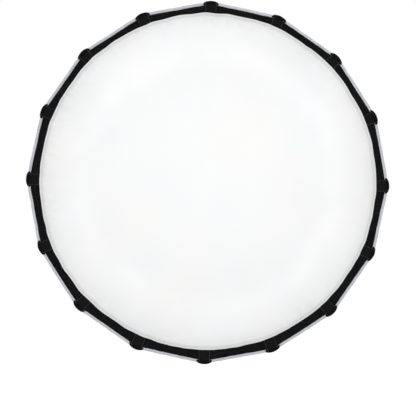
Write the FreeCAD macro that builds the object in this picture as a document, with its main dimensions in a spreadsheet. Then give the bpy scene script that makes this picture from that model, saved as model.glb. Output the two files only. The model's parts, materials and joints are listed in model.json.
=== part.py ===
"""Sixteen-sided quick-open softbox (octabox family) with a claw bayonet mount.

Row frame, in millimetres: +Z up, the box's own axis lies along Y and the box opens towards -Y.
The origin is the centre of the bayonet plate's rear face, where the lamp head seats.
Two working lengths are used all through: a radius from the Y axis, and a depth forward of the
origin (depth = -y). Rib 01 points straight up and the others follow clockwise, seen from the front.
"""

import math
import os
import re

import FreeCAD
import Part
import Sketcher

DIMS = {
    # whole box: the rods' tips
    "rib_count": 16,
    "tip_radius": 586.0,
    "tip_depth": 628.0,
    # rib: straight arm on the hub, then one bent rod to the rim
    "hinge_radius": 92.0,
    "hinge_depth": 22.0,
    "arm_angle": 62.0,
    "arm_length": 90.0,
    "arm_width": 8.0,
    "arm_height": 9.0,
    "eye_radius": 7.0,
    "socket_length": 50.0,
    "rod_radius": 2.5,
    "rod_play": 0.05,
    "pin_radius": 2.0,
    "pin_play": 0.05,
    # hub, round the hinges
    "cheek": 4.0,
    "arm_side_play": 0.5,
    "eye_clearance": 1.0,
    "hub_rim": 12.0,
    "hub_nose": 12.0,
    "stop_gap": 0.3,
    "web_thickness": 9.0,
    "web_lip": 5.0,
    "web_width": 12.2,
    "journal_step": 0.2,
    # bayonet ring
    "bayonet_bore_radius": 49.0,
    "bayonet_thickness": 4.0,
    "bayonet_rim": 5.8,
    "bayonet_collar_wall": 4.0,
    "bayonet_collar_length": 10.0,
    "claw_count": 3,
    "claw_offset": 11.0,
    "claw_wall": 4.5,
    "claw_lip": 5.0,
    "claw_height": 9.0,
    "claw_lip_height": 3.0,
    "claw_width": 18.0,
    "screw_count": 6,
    "screw_offset": 15.0,
    "screw_radius": 2.0,
    "screw_head_radius": 3.6,
    "screw_head_height": 2.0,
    "screw_length": 11.0,
    "screw_slot": 1.0,
    # lock ring, turning on the hub's journal behind the ribs
    "lock_thickness": 4.7,
    "lock_play": 0.08,
    "lock_overhang": 6.0,
    "thumb_tab_reach": 16.0,
    "thumb_tab_width": 24.0,
    # collar that holds the rear hem of the shell
    "collar_wall": 7.7,
    "collar_behind_arm": 10.0,
    # fabric shell
    "shell_clearance": 0.5,
    "shell_thickness": 1.2,
    "shell_hem_reach": 4.0,
    "seam_gap": 0.3,
    # rim
    "tip_to_band": 8.0,
    "tip_to_corner": 4.34,
    "band_thickness": 1.6,
    "band_width": 22.0,
    "binding_width": 9.5,
    "binding_thickness": 5.7,
    "binding_edge": 2.0,
    # corner pockets
    "pocket_width": 46.0,
    "pocket_wall": 7.0,
    "pocket_length": 42.0,
    "pocket_tab_reach": 38.3,
    "pocket_tab_thickness": 2.2,
    "pocket_cap": 4.1,
    "pocket_corner": 4.0,
    "sleeve_wall": 1.6,
    "sleeve_length": 34.0,
    "sleeve_play": 0.3,
    # diffuser
    "diffuser_gap": 0.4,
    "diffuser_thickness": 1.6,
    "diffuser_step": 0.2,
    # pieces that meet without a fit of their own
    "gap": 0.3,
}

# Places worked out from the driving sizes, as the sheet's own expressions.
PLACES = {
    "hub_outer_radius": "$hinge_radius + $hub_rim",
    "hub_front_depth": "$hinge_depth + $hub_nose",
    "slot_width": "$arm_width + 2 * $arm_side_play",
    "slot_inner_radius": "$hinge_radius - $eye_radius - $eye_clearance",
    "slot_floor_depth": "$hinge_depth - $eye_radius - $eye_clearance",
    "stop_radius": "$hinge_radius + $eye_radius + $eye_clearance",
    "arm_underside": "$hinge_depth - $arm_height / 2 / sin($arm_angle * 1deg)",
    "stop_depth": "@arm_underside + ($eye_radius + $eye_clearance) / tan($arm_angle * 1deg) - $stop_gap",
    "pin_length": "@slot_width + 2 * $cheek",
    "web_inner_radius": "$bayonet_bore_radius + $bayonet_collar_wall + $web_lip",
    "hub_inner_radius": "@web_inner_radius + $web_width - $journal_step",
    "journal_radius": "@web_inner_radius + $web_width",
    "web_front_depth": "$bayonet_thickness + $web_thickness",
    "hub_back_depth": "$bayonet_thickness + $lock_thickness + 2 * $gap",
    "bayonet_outer_radius": "@journal_radius + $bayonet_rim",
    "claw_inner_radius": "$bayonet_bore_radius + $claw_offset",
    "screw_circle_radius": "$bayonet_bore_radius + $screw_offset",
    "lock_outer_radius": "@hub_outer_radius + $lock_overhang",
    "lock_back_depth": "$bayonet_thickness + $gap",
    "collar_inner_radius": "@hub_outer_radius + $gap",
    "collar_front_depth": "@arm_underside + $hub_rim / tan($arm_angle * 1deg) - $gap",
    "shell_hem_radius": "@hub_outer_radius + $shell_hem_reach",
    "band_depth": "$tip_depth + $tip_to_band",
    "band_apothem": "($tip_radius + $tip_to_corner) * cos(180deg / $rib_count)",
    "band_inner_radius": "@band_apothem - $band_width",
    "band_front_depth": "@band_depth + $band_thickness",
    "tab_back_depth": "@band_front_depth + $gap",
    "tab_front_depth": "@tab_back_depth + $pocket_tab_thickness",
    "cap_front_depth": "@band_front_depth + $gap + $pocket_cap",
    "sleeve_radius": "$rod_radius + $sleeve_play + $sleeve_wall",
}

AXIS = FreeCAD.Vector(0, 1, 0)
ORIGIN = FreeCAD.Vector(0, 0, 0)

doc = FreeCAD.newDocument("softbox")


def make_sheet():
    sheet = doc.addObject("Spreadsheet::Sheet", "Dims")
    for row, (name, value) in enumerate(DIMS.items(), 1):
        sheet.set(f"A{row}", name)
        sheet.set(f"B{row}", str(value))
        sheet.setAlias(f"B{row}", name)
    doc.recompute()
    return sheet


sheet = make_sheet()


def size(name):
    """A driving dimension, read back from the sheet."""
    return float(getattr(sheet, name))


def cells(text):
    """An expression in which $name stands for a cell of the sheet, and @name for one of PLACES."""
    for name in re.findall(r"@(\w+)", text):
        text = re.sub(rf"@{name}\b", f"({cells(PLACES[name])})", text)
    return text.replace("$", "Dims.")


def place(name):
    """One of PLACES as a number, in millimetres."""
    return float(sheet.evalExpression(cells(f"@{name}")))


# ---------------------------------------------------------------- shared lines

def rib_line():
    """(stub start, arm end, rod middle, rod tip) as (radius, depth) points of the rib's centre line.

    The rod leaves the arm in the arm's own direction and bends as one circular arc to the tip.
    """
    slope = math.radians(size("arm_angle"))
    along = (math.sin(slope), math.cos(slope))
    hinge = (size("hinge_radius"), size("hinge_depth"))
    end = tuple(h + size("arm_length") * a for h, a in zip(hinge, along))
    start = tuple(e - size("socket_length") * a for e, a in zip(end, along))
    tip = (size("tip_radius"), size("tip_depth"))
    chord = (tip[0] - end[0], tip[1] - end[1])
    off_line = chord[1] * along[0] - chord[0] * along[1]
    bend = (chord[0] ** 2 + chord[1] ** 2) / (2 * off_line)
    centre = (end[0] - bend * along[1], end[1] + bend * along[0])
    first = math.atan2(end[1] - centre[1], end[0] - centre[0])
    last = math.atan2(tip[1] - centre[1], tip[0] - centre[0])
    return {"start": start, "end": end, "tip": tip, "centre": centre,
            "bend": bend, "first": first, "last": last, "along": along, "hinge": hinge}


LINE = rib_line()


def on_bend(radius, angle):
    """A (radius, depth) point on a circle about the rod's centre of bend."""
    return (LINE["centre"][0] + radius * math.cos(angle),
            LINE["centre"][1] + radius * math.sin(angle))


def in_rib_plane(point):
    """A (radius, depth) point as a vector in the plane of rib 01, which is the YZ plane."""
    return FreeCAD.Vector(0, -point[1], point[0])


def turned(shape, angle):
    """A copy of a shape, turned about the box's axis."""
    copy = shape.copy()
    copy.rotate(ORIGIN, AXIS, angle)
    return copy


def ring_of(shape, count, first=0.0):
    """count copies of a shape, evenly spaced round the box's axis, as one compound."""
    return Part.makeCompound([turned(shape, first + 360.0 * i / count) for i in range(count)])


# ---------------------------------------------------------------- PartDesign helpers

def new_body(name):
    return doc.addObject("PartDesign::Body", name)


def plane_of(body, role):
    return next(f for f in body.Origin.OriginFeatures if f.Role == role)


def new_sketch(body, name, role, offset="0"):
    """A sketch on one of the body's own origin planes, moved along the plane's normal by offset."""
    sketch = body.newObject("Sketcher::SketchObject", name)
    sketch.AttachmentSupport = [(plane_of(body, role), "")]
    sketch.MapMode = "FlatFace"
    sketch.setExpression(".AttachmentOffset.Base.z", cells(offset))
    return sketch


def add_circle(sketch, radius, centre_x="0", centre_y="0"):
    """A circle whose radius and centre are expressions of the sheet."""
    at = sketch.addGeometry(Part.Circle(FreeCAD.Vector(1, 1, 0), FreeCAD.Vector(0, 0, 1), 10.0))
    for kind, expression, args in (
        ("Radius", radius, (at,)),
        ("DistanceX", centre_x, (-1, 1, at, 3)),
        ("DistanceY", centre_y, (-1, 1, at, 3)),
    ):
        if kind != "Radius" and expression == "0":
            direction = "X" if kind == "DistanceY" else "Y"
            axis = -1 if direction == "X" else -2
            sketch.addConstraint(Sketcher.Constraint("PointOnObject", at, 3, axis))
            continue
        start = 10.0 if kind == "Radius" else 1.0
        index = sketch.addConstraint(Sketcher.Constraint(kind, *args, start))
        sketch.setExpression(f"Constraints[{index}]", cells(expression))


def add_box(sketch, x_low, x_high, y_low, y_high):
    """A rectangle along the sketch's axes whose four sides are expressions of the sheet."""
    corner = [FreeCAD.Vector(x, y, 0) for x, y in ((1, 1), (3, 1), (3, 3), (1, 3))]
    lines = [sketch.addGeometry(Part.LineSegment(corner[i], corner[(i + 1) % 4])) for i in range(4)]
    for i in range(4):
        sketch.addConstraint(Sketcher.Constraint("Coincident", lines[i], 2, lines[(i + 1) % 4], 1))
    for i, kind in enumerate(("Horizontal", "Vertical", "Horizontal", "Vertical")):
        sketch.addConstraint(Sketcher.Constraint(kind, lines[i]))
    for kind, expression, line in (
        ("DistanceX", x_low, lines[0]),
        ("DistanceX", x_high, lines[1]),
        ("DistanceY", y_low, lines[0]),
        ("DistanceY", y_high, lines[2]),
    ):
        index = sketch.addConstraint(Sketcher.Constraint(kind, -1, 1, line, 1, 1.0))
        sketch.setExpression(f"Constraints[{index}]", cells(expression))


def pad(body, sketch, name, length, midplane=False):
    feature = body.newObject("PartDesign::Pad", name)
    feature.Profile = sketch
    feature.setExpression("Length", cells(length))
    feature.Midplane = midplane
    doc.recompute()
    return feature


def pocket(body, sketch, name, length, midplane=False, reversed_way=True):
    """A pocket that must remove material: its direction is chosen here and its volume compared."""
    before = body.Shape.Volume
    feature = body.newObject("PartDesign::Pocket", name)
    feature.Profile = sketch
    feature.setExpression("Length", cells(length))
    feature.Midplane = midplane
    feature.Reversed = reversed_way
    doc.recompute()
    assert body.Shape.Volume < before, f"{name} cuts nothing"
    return feature


def polar(body, feature, count):
    """Repeats one feature round the box's axis, which lies along the body's Y axis."""
    pattern = body.newObject("PartDesign::PolarPattern", feature.Name + "_ring")
    pattern.Originals = [feature]
    pattern.Axis = (plane_of(body, "Y_Axis"), [""])
    pattern.Angle = 360
    pattern.setExpression("Occurrences", cells(count))
    body.Tip = pattern
    doc.recompute()
    return pattern


def bore(body, name, radius, height, stand):
    """A round hole cut by a cylinder that stands at a placement."""
    before = body.Shape.Volume
    feature = body.newObject("PartDesign::SubtractiveCylinder", name)
    feature.setExpression("Radius", cells(radius))
    feature.setExpression("Height", cells(height))
    feature.Placement = stand
    doc.recompute()
    assert body.Shape.Volume < before, f"{name} cuts nothing"
    return feature


# ---------------------------------------------------------------- hub

def hub_ring():
    """Moulded speed ring: a journal and web behind, and a slot with a stop for each rib's arm."""
    body = new_body("hub_ring")
    web = new_sketch(body, "web_outline", "XZ_Plane", "$bayonet_thickness")
    add_circle(web, "@journal_radius")
    add_circle(web, "@web_inner_radius")
    pad(body, web, "web", "$web_thickness")
    rim = new_sketch(body, "rim_outline", "XZ_Plane", "@hub_back_depth")
    add_circle(rim, "@hub_outer_radius")
    add_circle(rim, "@hub_inner_radius")
    pad(body, rim, "rim", "@hub_front_depth - @hub_back_depth")
    half = "@slot_width / 2"
    slot = new_sketch(body, "slot_outline", "XZ_Plane", "@slot_floor_depth")
    add_box(slot, f"-{half}", half, "@slot_inner_radius", "@stop_radius")
    cut = pocket(body, slot, "arm_slot", "@hub_front_depth - @slot_floor_depth + 1")
    polar(body, cut, "$rib_count")
    mouth = new_sketch(body, "slot_mouth_outline", "XZ_Plane", "@stop_depth")
    add_box(mouth, f"-{half}", half, "@stop_radius - 0.01", "@hub_outer_radius + 1")
    cut = pocket(body, mouth, "arm_slot_mouth", "@hub_front_depth - @stop_depth + 1")
    polar(body, cut, "$rib_count")
    hole = bore(body, "pin_hole", "$pin_radius + $pin_play / 2", "@pin_length", pin_stand())
    polar(body, hole, "$rib_count")
    hole = new_sketch(body, "screw_hole_outline", "XZ_Plane", "$bayonet_thickness")
    add_circle(hole, "$screw_radius + $pin_play", *SCREW_CENTRE)
    cut = pocket(body, hole, "screw_hole", "@web_front_depth")
    polar(body, cut, "$screw_count")
    return body


# The first screw stands half a pitch round from the first claw.
SCREW_CENTRE = ("@screw_circle_radius * sin(180deg / $screw_count)",
                "@screw_circle_radius * cos(180deg / $screw_count)")


def pin_stand():
    """Stands a cylinder along X, centred on rib 01's hinge."""
    at = FreeCAD.Vector(-place("pin_length") / 2, -size("hinge_depth"), size("hinge_radius"))
    return FreeCAD.Placement(at, FreeCAD.Rotation(FreeCAD.Vector(0, 1, 0), 90))


def bayonet_ring():
    """Metal insert: a plate, a collar that stiffens its bore, and three claws for the lamp head."""
    body = new_body("bayonet_ring")
    plate = new_sketch(body, "plate_outline", "XZ_Plane")
    add_circle(plate, "@bayonet_outer_radius")
    add_circle(plate, "$bayonet_bore_radius")
    pad(body, plate, "plate", "$bayonet_thickness")
    collar = new_sketch(body, "collar_outline", "XZ_Plane", "$bayonet_thickness - 0.01")
    add_circle(collar, "$bayonet_bore_radius + $bayonet_collar_wall")
    add_circle(collar, "$bayonet_bore_radius")
    pad(body, collar, "collar", "$bayonet_collar_length + 0.01")
    half = "$claw_width / 2"
    inner = "@claw_inner_radius"
    post = new_sketch(body, "claw_post_outline", "XZ_Plane", "-$claw_height")
    add_box(post, f"-{half}", half, inner, f"{inner} + $claw_wall")
    polar(body, pad(body, post, "claw_post", "$claw_height + 0.01"), "$claw_count")
    lip = new_sketch(body, "claw_lip_outline", "XZ_Plane", "-$claw_height")
    add_box(lip, f"-{half}", half, inner, f"{inner} + $claw_wall + $claw_lip")
    polar(body, pad(body, lip, "claw_lip", "$claw_lip_height"), "$claw_count")
    head = new_sketch(body, "screw_seat_outline", "XZ_Plane")
    add_circle(head, "$screw_head_radius + $pin_play", *SCREW_CENTRE)
    seat = pocket(body, head, "screw_seat", "$screw_head_height + $gap")
    polar(body, seat, "$screw_count")
    hole = new_sketch(body, "screw_way_outline", "XZ_Plane")
    add_circle(hole, "$screw_radius + $pin_play", *SCREW_CENTRE)
    cut = pocket(body, hole, "screw_way", "$bayonet_thickness + 1")
    polar(body, cut, "$screw_count")
    return body


def lock_ring():
    """Flat ring that turns on the hub's journal, with a thumb tab on each side."""
    body = new_body("lock_ring")
    ring = new_sketch(body, "ring_outline", "XZ_Plane", "@lock_back_depth")
    add_circle(ring, "@lock_outer_radius")
    add_circle(ring, "@journal_radius + $lock_play")
    pad(body, ring, "ring", "$lock_thickness")
    tab = new_sketch(body, "tab_outline", "XZ_Plane", "@lock_back_depth")
    reach = "@lock_outer_radius + $thumb_tab_reach"
    half = "$thumb_tab_width / 2"
    add_box(tab, "@lock_outer_radius - $lock_overhang", reach, f"-{half}", half)
    polar(body, pad(body, tab, "tab", "$lock_thickness"), "2")
    return body


def shell_collar():
    """Ring round the hub that the rear hem of the shell is fastened to."""
    tube = doc.addObject("Part::Cylinder", "collar_solid")
    hollow = doc.addObject("Part::Cylinder", "collar_hollow")
    tube.setExpression("Radius", cells("@collar_inner_radius + $collar_wall"))
    hollow.setExpression("Radius", cells("@collar_inner_radius"))
    for piece in (tube, hollow):
        piece.setExpression("Height", cells("$collar_behind_arm"))
        stand_forward(piece, "@collar_front_depth - $collar_behind_arm")
    cut = doc.addObject("Part::Cut", "shell_collar")
    cut.Base, cut.Tool = tube, hollow
    return cut


def stand_forward(cylinder, depth):
    """Stands a Part cylinder on the box's axis, from a depth forwards."""
    cylinder.Placement = FreeCAD.Placement(ORIGIN, FreeCAD.Rotation(FreeCAD.Vector(1, 0, 0), 90))
    cylinder.setExpression(".Placement.Base.y", cells(f"-({depth})"))


def hinge_pins():
    """One pin for each arm, held in the two cheeks of its slot."""
    pin = Part.makeCylinder(size("pin_radius"), place("pin_length") - 2 * size("gap"))
    pin.Placement = pin_stand()
    pin.translate(FreeCAD.Vector(size("gap"), 0, 0))
    return feature_of("hinge_pins", ring_of(pin, int(size("rib_count"))))


def bayonet_screws():
    """Slotted screws that hold the bayonet ring to the hub's web, with sunk heads."""
    head_height, slot = size("screw_head_height"), size("screw_slot")
    across = 2 * size("screw_head_radius")
    head = Part.makeCylinder(size("screw_head_radius"), head_height)
    notch = Part.makeBox(across, slot, slot, FreeCAD.Vector(-across / 2, -slot / 2, -0.01))
    shank_length = size("screw_length") - head_height
    shank = Part.makeCylinder(size("screw_radius"), shank_length, FreeCAD.Vector(0, 0, head_height))
    screw = head.cut(notch).fuse(shank)
    screw.rotate(ORIGIN, FreeCAD.Vector(1, 0, 0), 90)
    screw.translate(FreeCAD.Vector(0, -size("gap"), place("screw_circle_radius")))
    count = int(size("screw_count"))
    return feature_of("bayonet_screws", ring_of(screw, count, 180.0 / count))


def feature_of(name, shape):
    """A plain feature that holds a shape made with Part's own functions."""
    feature = doc.addObject("Part::Feature", name)
    feature.Shape = shape
    return feature


# ---------------------------------------------------------------- ribs

def rib_arm():
    """Cast arm, modelled with its hinge at the origin and its length along +Z."""
    body = new_body("arm_pattern")
    eye = new_sketch(body, "eye_outline", "YZ_Plane")
    add_circle(eye, "$eye_radius")
    pad(body, eye, "eye", "$arm_width", midplane=True)
    bar = new_sketch(body, "bar_outline", "YZ_Plane")
    add_box(bar, "-$arm_height / 2", "$arm_height / 2", "0.01", "$arm_length")
    pad(body, bar, "bar", "$arm_width", midplane=True)
    sideways = FreeCAD.Rotation(FreeCAD.Vector(0, 1, 0), 90)
    hole = FreeCAD.Placement(FreeCAD.Vector(-size("arm_width"), 0, 0), sideways)
    bore(body, "eye_hole", "$pin_radius + $pin_play", "2 * $arm_width", hole)
    bottom = size("arm_length") - size("socket_length") - size("gap")
    socket = FreeCAD.Placement(FreeCAD.Vector(0, 0, bottom), FreeCAD.Rotation())
    bore(body, "rod_socket", "$rod_radius + $rod_play", "$socket_length + 1", socket)
    return body


def arm_place():
    """From the arm's own frame to its place on rib 01."""
    lean = FreeCAD.Rotation(FreeCAD.Vector(1, 0, 0), 90 - size("arm_angle"))
    return FreeCAD.Placement(in_rib_plane(LINE["hinge"]), lean)


def rib_rod():
    """Glass-fibre rod: a straight stub in the arm's socket, then one bend to the corner pocket."""
    start, end, centre = (in_rib_plane(LINE[k]) for k in ("start", "end", "centre"))
    stub = Part.makeCylinder(size("rod_radius"), (end - start).Length, start, end - start)
    section = Part.Face(Part.Wire([Part.Circle(end, end - start, size("rod_radius")).toShape()]))
    turn = math.degrees(LINE["last"] - LINE["first"])
    bend = section.revolve(centre, FreeCAD.Vector(-1, 0, 0), -turn)
    return stub.fuse(bend).removeSplitter()


# ---------------------------------------------------------------- corner pockets

def corner_pocket():
    """Webbing pocket over the rim: a tab on the front, a cap outside and a sleeve for the rod's tip."""
    body = new_body("pocket_pattern")
    cap_front = place("cap_front_depth")
    tab_back, tab_front = place("tab_back_depth"), place("tab_front_depth")
    inner = shell_corner_radius() + size("gap")
    outer = inner + size("pocket_wall")
    tab_inner = outer - size("pocket_tab_reach")
    back = cap_front - size("pocket_length")
    bevel = size("pocket_wall") / 2
    outline = [
        (tab_inner, tab_back), (inner, tab_back), (inner, back),
        (inner + bevel, back), (outer, back + 2 * bevel), (outer, cap_front - bevel),
        (outer - bevel, cap_front), (inner - bevel, cap_front),
        (inner - 2 * bevel, tab_front), (tab_inner, tab_front),
    ]
    sketch = new_sketch(body, "pocket_outline", "YZ_Plane")
    add_polygon(sketch, [(-depth, radius) for radius, depth in outline])
    pad(body, sketch, "webbing", "$pocket_width", midplane=True)
    sleeve = body.newObject("PartDesign::AdditiveCylinder", "sleeve")
    sleeve.setExpression("Radius", cells("@sleeve_radius"))
    sleeve.Placement = sleeve_place(size("sleeve_length"))
    past_tip = (tab_back + size("pocket_tab_thickness") / 2 - size("tip_depth")) / math.cos(LINE["last"])
    sleeve.Height = size("sleeve_length") + past_tip
    doc.recompute()
    bore(body, "rod_hole", "$rod_radius + $sleeve_play", "$sleeve_length + 1 + $gap",
         sleeve_place(size("sleeve_length") + 1))
    side = size("pocket_width") / 2
    corners = [
        f"Edge{i}" for i, edge in enumerate(body.Shape.Edges, 1)
        if all(abs(abs(v.X) - side) < 0.01 and abs(v.Z - outer) < 0.01 for v in edge.Vertexes)
        and abs(edge.Vertexes[0].Y - edge.Vertexes[-1].Y) > 1
    ]
    base = body.Tip
    chamfer = body.newObject("PartDesign::Chamfer", "shoulders")
    chamfer.Base = (base, corners)
    chamfer.setExpression("Size", cells("min($pocket_corner; $pocket_wall - 0.5)"))
    doc.recompute()
    return body


def add_polygon(sketch, points):
    """A closed outline through points that are already worked out from the sheet."""
    count = len(points)
    vectors = [FreeCAD.Vector(x, y, 0) for x, y in points]
    lines = [sketch.addGeometry(Part.LineSegment(vectors[i], vectors[(i + 1) % count])) for i in range(count)]
    for i in range(count):
        sketch.addConstraint(Sketcher.Constraint("Coincident", lines[i], 2, lines[(i + 1) % count], 1))
        sketch.addConstraint(Sketcher.Constraint("DistanceX", -1, 1, lines[i], 1, points[i][0]))
        sketch.addConstraint(Sketcher.Constraint("DistanceY", -1, 1, lines[i], 1, points[i][1]))


def sleeve_place(behind):
    """Stands a cylinder on the rod's end, from a distance behind the tip and pointing past it.

    The straight sleeve lies along the bent rod's direction at the middle of the sleeve.
    """
    middle = LINE["last"] - size("sleeve_length") / 2 / LINE["bend"]
    way = FreeCAD.Vector(0, -math.cos(middle), -math.sin(middle))
    at = in_rib_plane(on_bend(LINE["bend"], middle)) + way * (size("sleeve_length") / 2 - behind)
    return FreeCAD.Placement(at, FreeCAD.Rotation(FreeCAD.Vector(0, 0, 1), way))


# ---------------------------------------------------------------- fabric shell and rim

def shell_offset():
    """From the rod's centre line out to the inside of the shell, clear of the arm's back."""
    return size("arm_height") / 2 + size("shell_clearance")


def shell_arc_end(offset):
    """The angle on the bend's circle at which the shell reaches the back of the binding."""
    depth = place("band_front_depth") - size("binding_thickness") - size("gap")
    return math.asin((depth - LINE["centre"][1]) / (LINE["bend"] + offset))


def shell_corner_radius():
    """The shell's outer radius at a corner of its front edge."""
    offset = shell_offset() + size("shell_thickness")
    return on_bend(LINE["bend"] + offset, shell_arc_end(offset))[0]


def shell_section():
    """Closed outline of the shell where it passes over rib 01."""
    def side(offset):
        outward = (LINE["along"][1], -LINE["along"][0])
        hinge = tuple(h + offset * o for h, o in zip(LINE["hinge"], outward))
        run = (place("shell_hem_radius") - hinge[0]) / LINE["along"][0]
        hem = tuple(h + run * a for h, a in zip(hinge, LINE["along"]))
        first, last = LINE["first"], shell_arc_end(offset)
        radius = LINE["bend"] + offset
        return [in_rib_plane(p) for p in (
            hem, on_bend(radius, first), on_bend(radius, (first + last) / 2), on_bend(radius, last))]
    inner = side(shell_offset())
    outer = side(shell_offset() + size("shell_thickness"))
    return Part.Wire([
        Part.LineSegment(inner[0], inner[1]).toShape(),
        Part.Arc(*inner[1:]).toShape(),
        Part.LineSegment(inner[3], outer[3]).toShape(),
        Part.Arc(outer[3], outer[2], outer[1]).toShape(),
        Part.LineSegment(outer[1], outer[0]).toShape(),
        Part.LineSegment(outer[0], inner[0]).toShape(),
    ])


def outer_shell():
    """Sixteen gores, each stretched straight from one rib to the next, with a seam over each rib."""
    count = int(size("rib_count"))
    seam = math.degrees(size("seam_gap") / 2 / size("tip_radius"))
    section = shell_section()
    gore = Part.makeLoft([turned(section, seam), turned(section, 360.0 / count - seam)], True, True)
    return feature_of("outer_shell", ring_of(gore, count))


def polygon_half_turn():
    return math.pi / size("rib_count")


def rim_band():
    """Flat lip round the front, round inside and sixteen-sided outside, notched for the sleeves."""
    corner = place("band_apothem") / math.cos(polygon_half_turn())
    count = int(size("rib_count"))
    turns = [2 * i * polygon_half_turn() for i in range(count)]
    level = -place("band_depth")
    points = [FreeCAD.Vector(corner * math.sin(turn), level, corner * math.cos(turn)) for turn in turns]
    plate = Part.Face(Part.makePolygon(points + points[:1]))
    circle = Part.Circle(FreeCAD.Vector(0, level, 0), AXIS, place("band_inner_radius"))
    hole = Part.Face(Part.Wire([circle.toShape()]))
    lip = plate.cut(hole).extrude(FreeCAD.Vector(0, -size("band_thickness"), 0))
    notch = Part.makeCylinder(place("sleeve_radius") + size("gap"), 2 * size("sleeve_length"))
    notch.Placement = sleeve_place(size("sleeve_length"))
    return feature_of("rim_band", lip.cut(ring_of(notch, count)))


def edge_binding():
    """Silver tape bound round the straight front edges, from each corner pocket to the next."""
    inside = place("band_apothem") + size("gap")
    wide, thick = size("binding_width"), size("binding_thickness")
    half_turn = polygon_half_turn()
    covered = (size("pocket_width") / 2 + size("gap")) / math.cos(half_turn)
    half_length = inside * math.tan(half_turn) - covered
    corner = FreeCAD.Vector(-half_length, -place("band_front_depth"), inside)
    bar = Part.makeBox(2 * half_length, thick, wide, corner)
    long_edges = [e for e in bar.Edges if abs(e.Vertexes[0].X - e.Vertexes[-1].X) > half_length]
    bar = bar.makeFillet(size("binding_edge"), long_edges)
    return feature_of("edge_binding", ring_of(bar, int(size("rib_count")), math.degrees(half_turn)))


def front_diffuser():
    """Round diffuser cloth, held by its edge inside the lip."""
    disc = doc.addObject("Part::Cylinder", "front_diffuser")
    disc.setExpression("Radius", cells("@band_inner_radius - $diffuser_gap"))
    disc.setExpression("Height", cells("$diffuser_thickness"))
    stand_forward(disc, "@band_depth + $diffuser_step")
    return disc


# ---------------------------------------------------------------- assembly

def ribs():
    """Arm, rod and pocket of every rib: each a copy of one pattern, turned to its own place."""
    count = int(size("rib_count"))
    arm, rod, pocket_shape = rib_arm(), rib_rod(), corner_pocket()
    made = []
    for i in range(count):
        turn = FreeCAD.Placement(ORIGIN, FreeCAD.Rotation(AXIS, 360.0 * i / count))
        for name, shape, start in (
            ("rib_arm", arm.Shape, arm_place()),
            ("rib_rod", rod, FreeCAD.Placement()),
            ("corner_pocket", pocket_shape.Shape, FreeCAD.Placement()),
        ):
            piece = feature_of(f"{name}_{i + 1:02d}", shape)
            piece.Placement = turn.multiply(start)
            made.append(piece)
    return made


def check(parts):
    """Stops the build if any object failed, or if a sub-part has no sound shape."""
    for thing in doc.Objects:
        bad = {"Invalid", "Error"} & set(thing.State)
        assert not bad, f"{thing.Label}: {thing.State}"
    for part in parts:
        assert not part.Shape.isNull() and part.Shape.isValid(), f"{part.Label} has no sound shape"
        assert part.Shape.Solids, f"{part.Label} has no solid"


def main():
    parts = [
        hub_ring(), bayonet_ring(), bayonet_screws(), hinge_pins(), lock_ring(), shell_collar(),
        outer_shell(), rim_band(), edge_binding(), front_diffuser(),
    ] + ribs()
    for part in parts:
        part.Label = part.Name
    doc.recompute()
    check(parts)
    os.makedirs("parts", exist_ok=True)
    for part in parts:
        part.Shape.exportStep(f"parts/{part.Label}.step")


main()
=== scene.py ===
"""Deep sixteen-rib softbox: fabric shell, rim, diffuser, ribs and bayonet hub."""

import json
import math

import bmesh
import bpy
from mathutils import Matrix, Vector, noise


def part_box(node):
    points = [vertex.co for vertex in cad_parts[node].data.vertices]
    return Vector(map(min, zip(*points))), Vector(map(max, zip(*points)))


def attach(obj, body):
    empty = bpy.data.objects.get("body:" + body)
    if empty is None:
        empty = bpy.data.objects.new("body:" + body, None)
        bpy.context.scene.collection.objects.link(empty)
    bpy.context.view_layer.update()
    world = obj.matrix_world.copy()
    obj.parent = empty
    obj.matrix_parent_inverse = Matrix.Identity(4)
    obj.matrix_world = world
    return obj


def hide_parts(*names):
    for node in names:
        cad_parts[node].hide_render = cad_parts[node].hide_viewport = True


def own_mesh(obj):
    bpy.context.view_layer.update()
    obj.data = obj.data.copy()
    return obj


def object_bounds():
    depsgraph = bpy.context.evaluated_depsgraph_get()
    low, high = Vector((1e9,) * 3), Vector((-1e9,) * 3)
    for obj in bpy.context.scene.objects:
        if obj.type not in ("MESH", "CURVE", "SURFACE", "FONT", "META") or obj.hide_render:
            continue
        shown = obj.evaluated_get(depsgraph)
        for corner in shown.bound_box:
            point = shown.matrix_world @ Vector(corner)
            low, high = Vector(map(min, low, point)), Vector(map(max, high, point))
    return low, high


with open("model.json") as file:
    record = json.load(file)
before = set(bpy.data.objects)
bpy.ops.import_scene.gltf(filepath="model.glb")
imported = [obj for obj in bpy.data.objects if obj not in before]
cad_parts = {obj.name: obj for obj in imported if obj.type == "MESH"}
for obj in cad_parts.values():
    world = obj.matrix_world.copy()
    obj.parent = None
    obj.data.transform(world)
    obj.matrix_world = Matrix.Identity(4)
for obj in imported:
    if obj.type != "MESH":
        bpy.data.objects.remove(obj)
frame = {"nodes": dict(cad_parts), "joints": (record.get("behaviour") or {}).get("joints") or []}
cad_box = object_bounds()


# ---- Rib line
# Every piece of cloth follows the ribs: a straight cast arm leaves the hub, then one glass-fibre
# rod bends to the rim. Points of this line are (radius from the axis, depth in front of the hub).

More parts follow.
